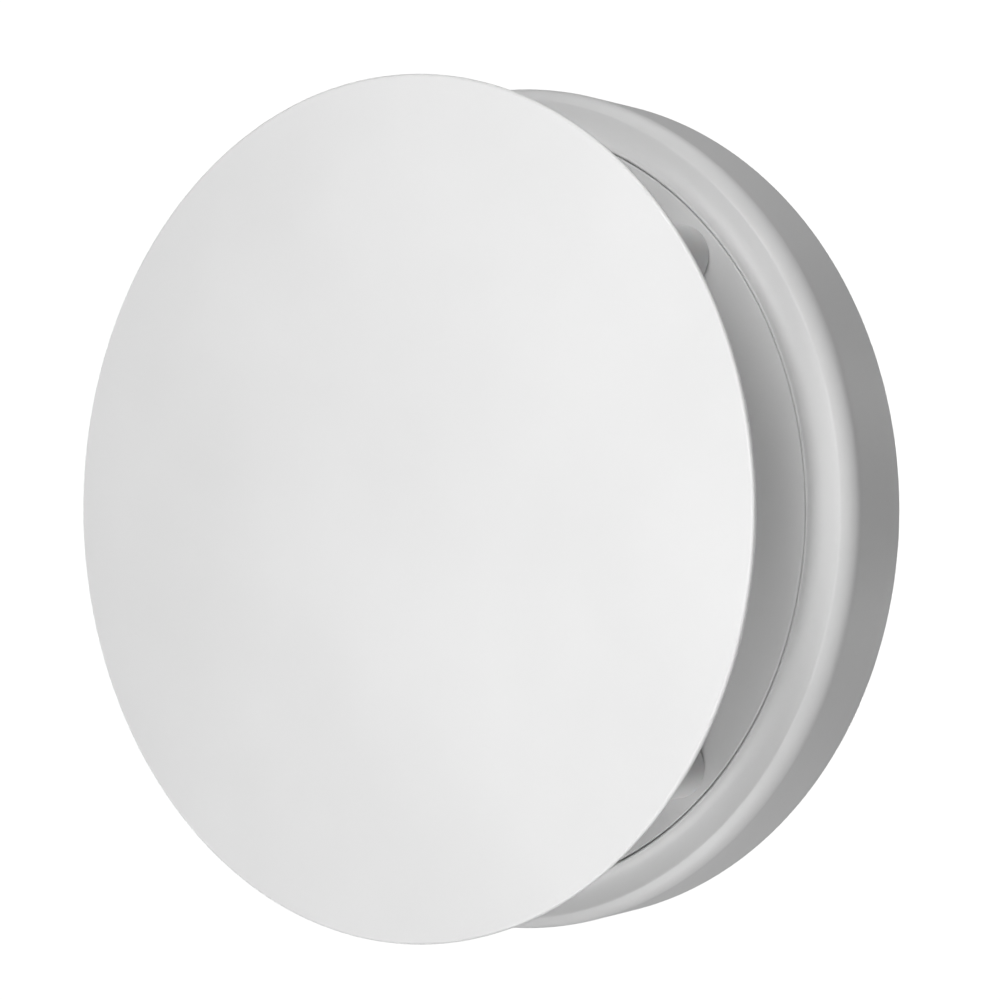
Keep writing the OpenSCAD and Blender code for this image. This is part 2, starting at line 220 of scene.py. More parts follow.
# Foamed sheet: cell walls stand up round pores of the given width; the pores' darker colour is painted shade
# in their hollows
def foam(name, poreShade, wall, cellMm, depthMm):
    material, shader, place = newMaterial(name, {"IOR": 1.5, "Sheen Weight": 0.15})
    cells = addNode(material, "ShaderNodeTexVoronoi", {"Scale": perMetre(cellMm)}, {"Vector": place},
                    feature="DISTANCE_TO_EDGE")
    struts = ranged(material, cells.outputs["Distance"], 1, 0, 0.02, 0.30)
    # the pore colour is painted shade, darkening the hollows between the cell walls
    link(material, blended(material, struts, poreShade, wall, 0.1, 0.9), shader.inputs["Base Color"])
    link(material, ranged(material, struts, 0.82, 0.96), shader.inputs["Roughness"])
    raised(material, shader, struts, depthMm, 0.7)
    return material


# Stamped brass: warm yellow with light handling tarnish
def stampedBrass():
    material, shader, place = newMaterial("stampedBrass", {"Metallic": 1.0})
    stain = addNode(material, "ShaderNodeTexNoise", {"Scale": perMetre(3), "Detail": 4}, {"Vector": place})
    link(material, blended(material, stain.outputs["Fac"], "#B58B47", "#D9B56C"), shader.inputs["Base Color"])
    link(material, ranged(material, stain.outputs["Fac"], 0.24, 0.45), shader.inputs["Roughness"])
    raised(material, shader, stain.outputs["Fac"], 0.01, 0.2)
    return material


finishes = {
    "powder_white": powderCoat(),
    "post_plastic": mouldedAbs(),
    "zinc_steel": zincPlate(),
    "galvanised": galvanisedSheet(),
    "bright_steel": turnedSteel(),
    "spring_steel": springStrip(),
    "blackened_steel": phosphatedSteel(),
    # acetal: waxy, off-white and slightly translucent
    "bearing_plastic": mouldedPlastic("naturalAcetal", "#DDD8C6", "#E6E2D3", 0.9, 0.01, 0.28, 0.42, 1.48,
                                      glow=0.1),
    # glass-filled polyamide: black with a dry, grainy skin
    "dark_plastic": mouldedPlastic("blackPolyamide", "#18181A", "#242427", 0.7, 0.03, 0.40, 0.58, 1.53),
    # elastomer: dull dark grey with a soft matt bloom
    "bush_rubber": mouldedPlastic("greyElastomer", "#2A2A2C", "#36363A", 0.5, 0.03, 0.62, 0.80, 1.52),
    # EPDM: nearly black, rubbery and matt
    "seal_rubber": mouldedPlastic("blackEpdmRubber", "#161618", "#232326", 0.6, 0.03, 0.60, 0.78, 1.52),
    # closed cells about 1.2 mm wide, a fine even skin, with painted shade in the pores
    "gasket_foam": foam("closedCellFoamGrey", "#7B7D80", "#999B9E", 1.2, 0.15),
    # open cells about 2 mm wide, with dark painted shade between the struts
    "sound_foam": foam("openCellFoamDark", "#1B1B1D", "#46474B", 2.0, 0.5),
    "washer_brass": stampedBrass(),
}
print("materials made:", len(finishes))


# Small helpers for modelling

def nothingSelected():
    if bpy.context.object and bpy.context.object.mode == "EDIT":
        bpy.ops.object.mode_set(mode="OBJECT")
    bpy.ops.object.select_all(action="DESELECT")


def pick(piece):
    nothingSelected()
    piece.select_set(True)
    bpy.context.view_layer.objects.active = piece


def arc(centre, radius, start, end, steps):
    # Points of a round stretch of an outline, angles in degrees
    angles = [math.radians(start + (end - start) * i / steps) for i in range(steps + 1)]
    return [(centre[0] + radius[0] * math.cos(a), centre[1] + radius[1] * math.sin(a)) for a in angles]


def lathe(name, outline, sides=192, closed=True):
    # Turns an outline of (radius, height) in millimetres about Z by extruding a circle from point to point
    nothingSelected()
    pole = 0.01   # stands for radius 0 until the doubles are merged
    outline = [(max(r, pole), z) for r, z in outline]
    radius, height = outline[0]
    bpy.ops.mesh.primitive_circle_add(vertices=sides, radius=radius * mm, location=(0, 0, height * mm))
    piece = bpy.context.object
    piece.name = name
    bpy.ops.object.transform_apply(location=True)
    bpy.ops.object.mode_set(mode="EDIT")
    bpy.ops.mesh.select_all(action="SELECT")
    steps = outline[1:] + ([outline[0]] if closed else [])
    for nextRadius, nextHeight in steps:
        bpy.ops.mesh.extrude_edges_move(
            TRANSFORM_OT_translate={"value": (0, 0, (nextHeight - height) * mm)})
        grow = nextRadius / radius
        bpy.ops.transform.resize(value=(grow, grow, 1), center_override=(0, 0, 0))
        radius, height = nextRadius, nextHeight
    bpy.ops.mesh.select_all(action="SELECT")
    bpy.ops.mesh.remove_doubles(threshold=0.021 * mm)
    bpy.ops.mesh.normals_make_consistent(inside=False)
    bpy.ops.object.mode_set(mode="OBJECT")
    return piece


def applied(piece, kind, **settings):
    pick(piece)
    modifier = piece.modifiers.new(kind.lower(), kind)
    for name, value in settings.items():
        setattr(modifier, name, value)
    bpy.ops.object.modifier_apply(modifier=modifier.name)
    return piece


def bevelled(piece, width, segments=2, angle=32):
    return applied(piece, "BEVEL", width=width * mm, segments=segments, limit_method="ANGLE",
                   angle_limit=math.radians(angle), harden_normals=False)


def cut(piece, tools):
    # Takes the joined tools out of a piece
    tool = joined("tools", tools)
    applied(piece, "BOOLEAN", operation="DIFFERENCE", object=tool, solver="EXACT")
    bpy.data.objects.remove(tool)
    return piece


def joined(name, pieces):
    pick(pieces[0])
    for piece in pieces[1:]:
        piece.select_set(True)
    if len(pieces) > 1:
        bpy.ops.object.join()
    bpy.context.object.name = name
    return bpy.context.object


def settled(piece, location=(0, 0, 0), rotation=(0, 0, 0)):
    # Puts a piece in its place and bakes that place into its mesh
    pick(piece)
    piece.location = [v * mm for v in location]
    piece.rotation_euler = rotation
    bpy.ops.object.transform_apply(location=True, rotation=True, scale=True)
    return piece


def duplicate(piece, location=(0, 0, 0), rotation=(0, 0, 0)):
    twin = bpy.data.objects.new(piece.name, piece.data.copy())
    bpy.context.scene.collection.objects.link(twin)
    return settled(twin, location, rotation)


def spread(piece, count, circle, first=0):
    # Copies a piece made on Z to evenly spaced places on a circle, angles in degrees
    twins = []
    for i in range(count):
        a = math.radians(first + 360 * i / count)
        twins.append(duplicate(piece, (circle * math.cos(a), circle * math.sin(a), 0), (0, 0, a)))
    bpy.data.objects.remove(piece)
    return twins


overrun = 2   # millimetres by which a cutting tool runs past a sheet


def drill(radius, lowEnd, highEnd, sides=48):
    nothingSelected()
    bpy.ops.mesh.primitive_cylinder_add(vertices=sides, radius=radius * mm, depth=(highEnd - lowEnd) * mm,
                                        location=(0, 0, (lowEnd + highEnd) / 2 * mm))
    bpy.ops.object.transform_apply(location=True)
    return bpy.context.object


def lying(piece, angle, height, side=0):
    # Turns a piece made on Z to point outwards at an angle in degrees, moved sideways and up
    a = math.radians(angle)
    return settled(piece, (-side * math.sin(a), side * math.cos(a), height), (0, math.pi / 2, a))


def block(size, centre, rounding=0.0):
    nothingSelected()
    bpy.ops.mesh.primitive_cube_add(size=1, location=[v * mm for v in centre], scale=[v * mm for v in size])
    bpy.ops.object.transform_apply(location=True, scale=True)
    piece = bpy.context.object
    return bevelled(piece, rounding, 3) if rounding else piece


def fromNode(node, name):
    # A merged copy of a CAD node's mesh, to be given softened edges
    piece = bpy.data.objects.new(name, frame["nodes"][node].data.copy())
    bpy.context.scene.collection.objects.link(piece)
    pick(piece)
    bpy.ops.object.mode_set(mode="EDIT")
    bpy.ops.mesh.select_all(action="SELECT")
    bpy.ops.mesh.remove_doubles(threshold=0.002 * mm)
    bpy.ops.mesh.dissolve_limited(angle_limit=math.radians(0.5))
    bpy.ops.object.mode_set(mode="OBJECT")
    return piece


def finishPiece(piece, body, slot, *nodes, angle=35):
    piece.data.materials.clear()
    piece.data.materials.append(finishes[slot])
    pick(piece)
    bpy.ops.object.shade_smooth_by_angle(angle=math.radians(angle))
    applied(piece, "WEIGHTED_NORMAL", keep_sharp=True)   # keeps flat faces flat beside small rounds
    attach(piece, body)
    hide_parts(*nodes)


# Camera, light and floor

plateRadius = (high("front_plate", 1) - low("front_plate", 1)) / 2
faceCentre = Vector((0, 0, low("front_plate") * mm))

view = {
    "turn": 37.8,          # degrees between the view and the plate's axis
    "distance": 7.0,       # in plate radii
    "aside": 0.257,        # shift of the camera in plate radii, to the right
    "up": 0.021,
    "lens": 109.4,
    "roundAxis": -0.6,     # degrees by which the whole view is carried round the plate's axis
}


def makeCamera():
    turn = math.radians(view["turn"])
    carried = Matrix.Rotation(math.radians(view["roundAxis"]), 3, "Z")
    back = carried @ Vector((math.sin(turn), 0, -math.cos(turn)))
    right = carried @ Vector((math.cos(turn), 0, math.sin(turn)))
    up = carried @ Vector((0, -1, 0))
    camera = bpy.data.objects.new("camera", bpy.data.cameras.new("camera"))
    bpy.context.scene.collection.objects.link(camera)
    offset = back * view["distance"] + right * view["aside"] + up * view["up"]
    place = faceCentre + offset * plateRadius * mm
    camera.matrix_world = Matrix([(right[i], up[i], back[i], place[i]) for i in range(3)] + [(0, 0, 0, 1)])
    camera.data.lens = view["lens"]
    camera.data.sensor_width = 36
    bpy.context.scene.camera = camera
    return back, right, up


back, right, up = makeCamera()
aim = Vector((0, 0, -30 * mm))

# Each light: metres to the right, up and towards the camera, then width, height and watts
lights = {
    "topFront": ((-0.35, 0.60, 0.70), 0.5, 0.5, 3.0),
    "topBack": ((0.10, 0.95, -0.10), 0.7, 0.7, 1.5),
    "lowSoft": ((-0.10, -0.90, 0.35), 0.6, 0.6, 3.7),
    "nearBox": ((-0.19, 0.00, 0.40), 0.2, 0.2, 0.5),
    "nearStrip": ((-0.08, 0.00, 0.35), 0.06, 1.0, 0.5),
    "edgeStrip": ((0.06, 0.00, 0.33), 0.06, 1.0, 0.15),
    "sideStrip": ((1.10, 0.00, 0.25), 0.3, 0.9, 0.25),
    "overhead": ((0.98, 0.00, -1.26), 0.9, 0.9, 14),
    "farFill": ((-1.03, -0.10, -0.80), 0.9, 0.9, 6),
}


def makeLights():
    for name, (place, width, height, power) in lights.items():
        data = bpy.data.lights.new(name, "AREA")
        data.shape = "RECTANGLE"
        data.size, data.size_y = width, height
        data.energy = power
        lamp = bpy.data.objects.new(name, data)
        bpy.context.scene.collection.objects.link(lamp)
        spot = aim + right * place[0] + up * place[1] + back * place[2]
        facing = (spot - aim).normalized()
        across = up.cross(facing).normalized() if abs(up.dot(facing)) < 0.9 else right
        above = facing.cross(across)
        lamp.matrix_world = Matrix([(across[i], above[i], facing[i], spot[i]) for i in range(3)]
                                   + [(0, 0, 0, 1)])
        lamp.visible_camera = False


makeLights()

studio = {"seen": 1.05, "mirrored": 0.2, "lit": 0.05, "floorGlow": 0.85}


def makeWorld():
    world = bpy.data.worlds.new("studio")
    bpy.context.scene.world = world
    world.use_nodes = True
    world.node_tree.nodes.clear()
    # The backdrop looks white, while less of it is mirrored in the part and still less lights it
    strengths = [addNode(world, "ShaderNodeBackground", {"Color": (1, 1, 1, 1), "Strength": studio[name]})
                 for name in ("lit", "mirrored", "seen")]
    ray = addNode(world, "ShaderNodeLightPath")
    surface = strengths[0].outputs["Background"]
    for kind, background in (("Is Glossy Ray", strengths[1]), ("Is Camera Ray", strengths[2])):
        mix = addNode(world, "ShaderNodeMixShader", links={"Fac": ray.outputs[kind]})
        link(world, surface, mix.inputs[1])
        link(world, background.outputs["Background"], mix.inputs[2])
        surface = mix.outputs["Shader"]
    addNode(world, "ShaderNodeOutputWorld", links={"Surface": surface})


makeWorld()
bpy.context.scene.view_settings.view_transform = "Standard"
bpy.context.scene.view_settings.look = "None"

nothingSelected()
bpy.ops.mesh.primitive_plane_add(size=120, location=(0, 0, -1.15))
floor = bpy.context.object
floor.name = "floor"
bpy.ops.object.transform_apply(location=True)
# Painted studio floor that glows a little, so that it stays pale at the edge of the light
floor.data.materials.append(newMaterial("paleFloor", {
    "Base Color": srgb("#F2F2F2"), "Roughness": 0.9, "Emission Color": srgb("#F6F6F6"),
    "Emission Strength": studio["floorGlow"]})[0])
floor.visible_diffuse = False
floor.visible_glossy = False
print("studio set up")

# Front plate and its posts

plate = {"edge": 0.72}


def makePlate():
    bottom, top, edge = low("front_plate"), high("front_plate"), plate["edge"]
    outline = [(0, bottom), (30, bottom), (60, bottom), (85, bottom)]
    outline += arc((plateRadius - edge, bottom + edge), (edge, edge), -90, 0, 4)
    outline += arc((plateRadius - edge, top - edge), (edge, edge), 0, 90, 4)
    outline += [(85, top), (60, top), (30, top), (0, top)]
    return lathe("frontPlate", outline, 256, closed=False)


finishPiece(makePlate(), "plate", "powder_white", "front_plate")

post = {
    "circle": 77.9, "first": 45, "radius": 6.8, "footRound": 0.4, "headRound": 0.5, "shoulder": 31.2,
    "shank": 2.85, "ease": 0.3, "bead": 3.0, "beadLow": 3.2, "beadHigh": 4.8, "beadSlope": 0.5,
    "tip": 2.2, "tipTaper": 0.9,
}


def makePost():
    p = post
    foot, tipEnd = low("plate_post_1"), high("plate_post_1")
    head = foot + p["shoulder"]
    shank, ease = p["shank"], p["ease"]
    beadLow, beadHigh, slope = head + p["beadLow"], head + p["beadHigh"], p["beadSlope"]
    outline = [(0, foot)] + arc((p["radius"] - p["footRound"], foot + p["footRound"]),
                                (p["footRound"], p["footRound"]), -90, 0, 4)
    outline += arc((p["radius"] - p["headRound"], head - p["headRound"]),
                   (p["headRound"], p["headRound"]), 0, 90, 4)
    outline += [(shank + ease, head), (shank, head + ease), (shank, beadLow)]
    outline += [(p["bead"], beadLow + slope), (p["bead"], beadHigh - slope), (shank, beadHigh)]
    outline += [(shank, tipEnd - p["tipTaper"]), (p["tip"], tipEnd), (0, tipEnd)]
    return lathe("post", outline, 96, closed=False)


for i, piece in enumerate(spread(makePost(), 4, post["circle"], post["first"]), 1):
    piece.name = f"post{i}"
    finishPiece(piece, "plate", "post_plastic", f"plate_post_{i}")

bush = {
    "bore": 3.05, "leadIn": 0.4, "sleeve": 4.95, "grip": 1.4, "flange": 6.4, "flangeHeight": 1.2,
    "back": 5.0, "ease": 0.2,
}


def makeBush():
    b = bush
    front, end, ease = low("socket_bush_1"), high("socket_bush_1"), b["ease"]
    ringBack = front + b["grip"]
    flangeTop = ringBack + b["flangeHeight"]
    outline = [(b["bore"], front + b["leadIn"]), (b["bore"] + b["leadIn"], front)]
    outline += [(b["sleeve"] - ease, front), (b["sleeve"], front + ease), (b["sleeve"], ringBack)]
    outline += [(b["flange"] - ease, ringBack), (b["flange"], ringBack + ease)]
    outline += [(b["flange"], flangeTop - ease), (b["flange"] - ease, flangeTop), (b["back"], flangeTop)]
    outline += [(b["back"], end - ease), (b["back"] - ease, end)]
    outline += [(b["bore"] + ease, end), (b["bore"], end - ease)]
    return lathe("bush", outline, 64)


for i, piece in enumerate(spread(makeBush(), 4, post["circle"], post["first"]), 1):
    piece.name = f"bush{i}"
    finishPiece(piece, "housing", "bush_rubber", f"socket_bush_{i}")
print("front plate, posts and bushes made")

# Inlet ring and its screws

ring = {
    "radius": 86.2, "wall": 1.4, "bellRadius": 64.5, "throat": 58.8, "bellTop": -13.0, "edge": 0.35,
    "flatEnd": 75, "bushHole": 5.0, "screwCircle": 69, "screwHole": 2.2,
}


def makeInletRing():
    g = ring
    front, neckTop, w, e = low("inlet_ring"), high("inlet_ring"), g["wall"], g["edge"]
    reach, rise = g["bellRadius"] - g["throat"], g["bellTop"] - front
    outline = arc((g["radius"] - e, front + e), (e, e), -90, 0, 3) + [(g["radius"], front + w)]
    outline += [(g["flatEnd"], front + w)]
    outline += arc((g["bellRadius"], g["bellTop"]), (w - reach, w - rise), 90, 0, 14)
    outline += [(g["throat"] + w, neckTop), (g["throat"], neckTop)]
    outline += arc((g["bellRadius"], g["bellTop"]), (-reach, -rise), 0, 90, 20)
    outline += [(g["flatEnd"], front)]
    piece = lathe("inletRing", outline, 256)
    drillEnd = front + 2 * overrun
    holes = spread(drill(g["bushHole"], front - overrun, drillEnd), 4, post["circle"], post["first"])
    holes += spread(drill(g["screwHole"], front - overrun, drillEnd), 4, g["screwCircle"])
    return cut(piece, holes)


finishPiece(makeInletRing(), "housing", "powder_white", "inlet_ring")

screw = {
    "head": 3.8, "headHeight": 2.2, "flat": 1.9, "skirt": 0.7, "ease": 0.15, "shank": 2.0, "end": -14,
    "chamfer": 0.5, "slot": 0.8, "slotLength": 4.2, "slotDepth": 1.3, "slotOver": 1, "slotRound": 0.1,
}


def makeRingScrew():
    s = screw
    seat, end = low("inlet_ring"), s["end"]
    top, skirtTop = seat - s["headHeight"], seat - s["skirt"]
    outline = [(0, top)] + arc((s["flat"], skirtTop), (s["head"] - s["flat"], top - skirtTop), 90, 0, 8)
    outline += [(s["head"], seat - s["ease"]), (s["head"] - s["ease"], seat), (s["shank"], seat)]
    outline += [(s["shank"], end - s["chamfer"]), (s["shank"] - s["chamfer"], end), (0, end)]
    piece = lathe("ringScrew", outline, 48, closed=False)
    height = s["slotDepth"] + s["slotOver"]
    middle = top + (s["slotDepth"] - s["slotOver"]) / 2
    for size in ((s["slotLength"], s["slot"], height), (s["slot"], s["slotLength"], height)):
        cut(piece, [block(size, (0, 0, middle), s["slotRound"])])
    return piece


ringScrews = joined("ringScrews", spread(makeRingScrew(), 4, ring["screwCircle"]))
finishPiece(ringScrews, "housing", "zinc_steel", "ring_screws")
print("inlet ring and screws made")

# Outer shell

shell = {
    "mouthRadius": 86.5, "lip": 0.7, "lipRound": 0.35, "coveHeight": 3.0, "roundRadius": 5.25, "crease": 30,
    "radius": 95.8, "draft": 0.6, "wall": 1.4, "ledge": 84.8, "ledgeLow": 1.6, "ledgeHigh": 3.2,
    "ledgeStep": 0.2, "backRound": 0.8,
}


def makeShell():
    s = shell
    front, w, r, turned = low("outer_shell"), s["wall"], s["lipRound"], s["roundRadius"]
    lipOut = s["mouthRadius"] + s["lip"]
    centre = s["radius"] - turned                      # the arc that meets the side wall
    crease = centre + turned * math.sin(math.radians(s["crease"]))
    creaseHeight = front + s["coveHeight"]
    side = creaseHeight + turned * math.cos(math.radians(s["crease"]))
    reach = crease - lipOut
    ledgeLow, ledgeHigh = front + s["ledgeLow"], front + s["ledgeHigh"]
    outline = [(s["ledge"], ledgeLow), (s["mouthRadius"], ledgeLow)]
    outline += arc((s["mouthRadius"] + r, front + r), (r, r), 180, 270, 4)
    outline += arc((lipOut - r, front + r), (r, r), 270, 360, 4)
    outline += arc((crease, front), (-reach, s["coveHeight"]), 8, 90, 18)
    outline += arc((centre, side), (turned, -turned), 90 - s["crease"] - 3, 0, 14)
    backR = s["radius"] - s["draft"]
    outline += arc((backR - s["backRound"], -s["backRound"]), (s["backRound"], s["backRound"]), 0, 90, 4)
    outline += [(backR - w, 0), (s["radius"] - w, side)]
    outline += arc((centre, side), (turned - w, w - turned), 0, 90 - s["crease"], 8)[1:]
    outline += arc((crease, front + w), (-reach, s["coveHeight"]), 70, 45, 4)
    outline += [(s["mouthRadius"] - s["ledgeStep"], ledgeHigh), (s["ledge"], ledgeHigh)]
    return lathe("outerShell", outline, 256)


finishPiece(makeShell(), "housing", "powder_white", "outer_shell")
print("outer shell made")

# Base plate with its spigot, gasket and lip seal

spigot = {
    "plate": 92.5, "edge": 0.3, "sheet": 1.6, "radius": 61.7, "wall": 1.4, "bend": 1.4, "leadStart": 32.5,
    "leadEnd": 33.5, "leadIn": 1.1, "easeStart": 0.25, "easeEnd": 0.15, "easeRise": 0.2, "rim": 0.35,
    "padCircle": 80, "pad": 7, "padRound": 0.6, "padFoot": 0.4, "screwHole": 2.25, "clipFirst": 90,
    "windowWidth": 14.5, "windowLow": 7.5, "windowHigh": 25.2, "windowCut": 9, "windowRound": 1,
    "rivetHeight": 3.5, "rivetSide": 3.5, "rivetHole": 2.1,
}


def makePads(bottom):
    # Raised pads round the ceiling screws, flush with the gasket's face
    g = spigot
    foot, e, r = bottom + g["padFoot"], g["edge"], g["padRound"]
    outline = [(g["screwHole"], foot), (g["screwHole"], -e), (g["screwHole"] + e, 0)]
    outline += arc((g["pad"] - r, -r), (r, r), 90, 0, 4) + [(g["pad"], foot)]
    return spread(lathe("pad", outline, 48), 4, g["padCircle"])


def makeSpigot():
    g = spigot
    bottom, top, e = low("spigot_base"), high("spigot_base"), g["edge"]
    face = bottom + g["sheet"]
    outer, inner = g["radius"], g["radius"] - g["wall"]
    neck, neckBore = outer - g["leadIn"], inner - g["leadIn"]
    outline = arc((g["plate"] - e, bottom + e), (e, e), -90, 0, 3)
    outline += arc((g["plate"] - e, face - e), (e, e), 0, 90, 3)
    outline += arc((outer + g["bend"], face + g["bend"]), (g["bend"], g["bend"]), 270, 180, 6)
    outline += [(outer, g["leadStart"]), (outer - g["easeStart"], g["leadStart"] + g["easeRise"])]
    outline += [(neck + g["easeEnd"], g["leadEnd"] - g["easeRise"]), (neck, g["leadEnd"])]
    outline += arc((neck - g["rim"], top - g["rim"]), (g["rim"], g["rim"]), 0, 90, 4)
    outline += arc((neckBore + g["rim"], top - g["rim"]), (g["rim"], g["rim"]), 90, 180, 4)
    outline += [(neckBore, g["leadEnd"]), (inner, g["leadStart"])]
    outline += arc((inner + g["bend"], bottom + g["bend"]), (g["bend"], g["bend"]), 180, 270, 6)
    tube = lathe("spigot", outline, 240)
    tools = spread(drill(g["screwHole"], bottom - overrun, overrun), 4, g["padCircle"])
    windowSize = (g["windowCut"], g["windowWidth"], g["windowHigh"] - g["windowLow"])
    windowPlace = (outer - g["wall"] / 2, 0, (g["windowLow"] + g["windowHigh"]) / 2)
    for i in range(3):
        angle = g["clipFirst"] + 120 * i
        window = block(windowSize, windowPlace, g["windowRound"])
        tools.append(settled(window, rotation=(0, 0, math.radians(angle))))
        for side in (-g["rivetSide"], g["rivetSide"]):
            hole = drill(g["rivetHole"], outer - 2 * overrun, outer + 2 * overrun, 32)
            tools.append(lying(hole, angle, g["rivetHeight"], side))
    cut(tube, tools)
    return joined("spigotBase", [tube] + makePads(bottom))


finishPiece(makeSpigot(), "housing", "galvanised", "spigot_base")

gasket = {"inner": 66, "outer": 90, "edge": 0.4, "hole": 7.5}


def makeGasket():
    g = gasket
    bottom, top, e = low("ceiling_gasket"), high("ceiling_gasket"), g["edge"]
    outline = [(g["inner"], bottom), (g["outer"], bottom)]
    outline += arc((g["outer"] - e, top - e), (e, e), 0, 90, 3)
    outline += arc((g["inner"] + e, top - e), (e, e), 90, 180, 3)
    piece = lathe("ceilingGasket", outline, 192)
    return cut(piece, spread(drill(g["hole"], bottom - overrun, top + overrun), 4, spigot["padCircle"]))


finishPiece(makeGasket(), "housing", "gasket_foam", "ceiling_gasket")

seal = {
    "bore": 61.72, "band": 1.1, "ease": 0.18, "bandIn": 0.4, "bandDown": 0.7, "roots": (1.3, 3.9),
    # a lip's outline from its root on the band: it leans back towards the ceiling and thins to its edge
    "lip": [(0.25, 0.02), (0.98, -0.85), (1.48, -0.7), (1.48, -0.35), (0.35, 0.75), (0, 1.1)],
}


def makeLipSeal():
    g = seal
    bottom, top = low("lip_seal"), high("lip_seal")
    band = g["bore"] + g["band"]
    outline = [(g["bore"], bottom), (band, bottom), (band, bottom + g["roots"][0])]
    for root in g["roots"]:
        outline += [(band + out, bottom + root + rise) for out, rise in g["lip"]]
    outline += [(band, top - g["bandDown"]), (band - g["bandIn"], top), (g["bore"], top)]
    return bevelled(lathe("lipSeal", outline, 240), g["ease"], 2, 25)


finishPiece(makeLipSeal(), "housing", "seal_rubber", "lip_seal")
print("spigot, gasket and lip seal made")

# Spring clips and their rivets

clip = {
    "foot": 62.0, "width": 12, "strips": 6, "thickness": 0.6, "edge": 0.12,
    # the leaf's side view: millimetres out from its foot, and height
    "bend": [(0, 1), (0, 3), (0, 5), (0.02, 6.5), (0.15, 7.8), (0.45, 9.6), (0.85, 11.8), (1.3, 14),
             (1.62, 15.6), (1.84, 16.8), (1.88, 17.8), (1.7, 18.8), (1.3, 20), (0.75, 21.4), (0.15, 22.8),
             (-0.4, 24)],
}


def makeClip():
    c = clip
    nothingSelected()
    start = c["bend"][0]
    bpy.ops.mesh.primitive_plane_add(size=mm, location=((c["foot"] + start[0]) * mm, -c["width"] / 2 * mm,
                                                        start[1] * mm))
    piece = bpy.context.object
    bpy.ops.object.transform_apply(location=True)
    bpy.ops.object.mode_set(mode="EDIT")
    bpy.ops.mesh.select_all(action="SELECT")
    bpy.ops.mesh.merge(type="CENTER")
    for here, there in zip(c["bend"], c["bend"][1:]):
        bpy.ops.mesh.extrude_vertices_move(
            TRANSFORM_OT_translate={"value": ((there[0] - here[0]) * mm, 0, (there[1] - here[1]) * mm)})
    bpy.ops.mesh.select_all(action="SELECT")
    for _ in range(c["strips"]):
        bpy.ops.mesh.extrude_edges_move(
            TRANSFORM_OT_translate={"value": (0, c["width"] / c["strips"] * mm, 0)})
    bpy.ops.mesh.select_all(action="SELECT")
    bpy.ops.mesh.normals_make_consistent(inside=False)
    bpy.ops.object.mode_set(mode="OBJECT")
    piece.name = "clip"
    if piece.data.polygons[0].normal.x < 0:
        piece.data.flip_normals()
    applied(piece, "SOLIDIFY", thickness=c["thickness"] * mm, offset=1)
    return bevelled(piece, c["edge"], 2, 40)


rivet = {
    "shank": 1.5, "head": 2.7, "headHeight": 0.8, "headEase": 0.1, "skirt": 0.15, "tailEase": 0.3,
    "grip": 2.1,
}


def makeRivet(innerEnd, seat):
    # A domed rivet along Z, from its upset tail to the head on its seat
    r = rivet
    ease, headLow = r["tailEase"], seat + r["skirt"]
    outline = [(0, innerEnd), (r["shank"] - ease, innerEnd), (r["shank"], innerEnd + ease)]
    outline += [(r["shank"], seat), (r["head"] - r["headEase"], seat), (r["head"], headLow)]
    outline += arc((0, headLow), (r["head"], r["headHeight"] - r["skirt"]), 0, 90, 8)[1:]
    return lathe("rivet", outline, 40, closed=False)


for i in (1, 2, 3):
    angle = spigot["clipFirst"] + 120 * (i - 1)
    leaf = settled(makeClip(), rotation=(0, 0, math.radians(angle)))
    leaf.name = f"springClip{i}"
    finishPiece(leaf, f"clip_{i}", "spring_steel", f"spring_clip_{i}")
    seat = clip["foot"] + clip["thickness"]
    pair = [lying(makeRivet(seat - rivet["grip"], seat), angle, spigot["rivetHeight"], side)
            for side in (-spigot["rivetSide"], spigot["rivetSide"])]
    finishPiece(joined(f"clipRivets{i}", pair), f"clip_{i}", "zinc_steel", f"clip_rivets_{i}")
print("spring clips made")

# Bridge, bush, spindle and knob

bridge = {
    "edge": 0.35, "rivetHeight": 14.5, "rivetSeat": 58.2, "rivetEnd": 61.5, "rivetDome": 1.0,
    "rivetSkirt": 0.2,
}

finishPiece(bevelled(fromNode("spindle_bridge", "spindleBridge"), bridge["edge"], 2), "housing",
            "zinc_steel", "spindle_bridge")


def makeBridgeRivet():
    r, g = rivet, bridge
    seat, end, ease = g["rivetSeat"], g["rivetEnd"], r["tailEase"]
    headHigh = seat - g["rivetSkirt"]
    outline = [(0, headHigh - g["rivetDome"])]
    outline += arc((0, headHigh), (r["head"], -g["rivetDome"]), 90, 0, 8)[1:]
    outline += [(r["head"], seat), (r["shank"], seat), (r["shank"], end - ease)]
    outline += [(r["shank"] - ease, end), (0, end)]
    return lathe("bridgeRivet", outline, 40, closed=False)


bridgeRivets = [lying(makeBridgeRivet(), angle, bridge["rivetHeight"]) for angle in (0, 180)]
finishPiece(joined("bridgeRivets", bridgeRivets), "housing", "zinc_steel", "bridge_rivets")


spindleBush = {
    "bore": 4.05, "ease": 0.3, "flange": 7.5, "flangeHeight": 0.8, "flangeEase": 0.2, "sleeve": 5.38,
    "sleeveEase": 0.28,
}


def makeSpindleBush():
    b = spindleBush
    bottom, top, e = low("spindle_bush"), high("spindle_bush"), b["ease"]
    flangeTop = bottom + b["flangeHeight"]
    outline = [(b["bore"], bottom + e), (b["bore"] + e, bottom)]
    outline += [(b["flange"] - e, bottom), (b["flange"], bottom + e)]
    outline += [(b["flange"], flangeTop - b["flangeEase"]), (b["flange"] - b["flangeEase"], flangeTop)]
    outline += [(b["sleeve"], flangeTop), (b["sleeve"], top - e), (b["sleeve"] - b["sleeveEase"], top)]
    outline += [(b["bore"] + e, top), (b["bore"], top - e)]
    return lathe("spindleBush", outline, 64)


finishPiece(makeSpindleBush(), "housing", "bearing_plastic", "spindle_bush")


washer = {"bore": 4.1, "radius": 7.5, "ease": 0.1}


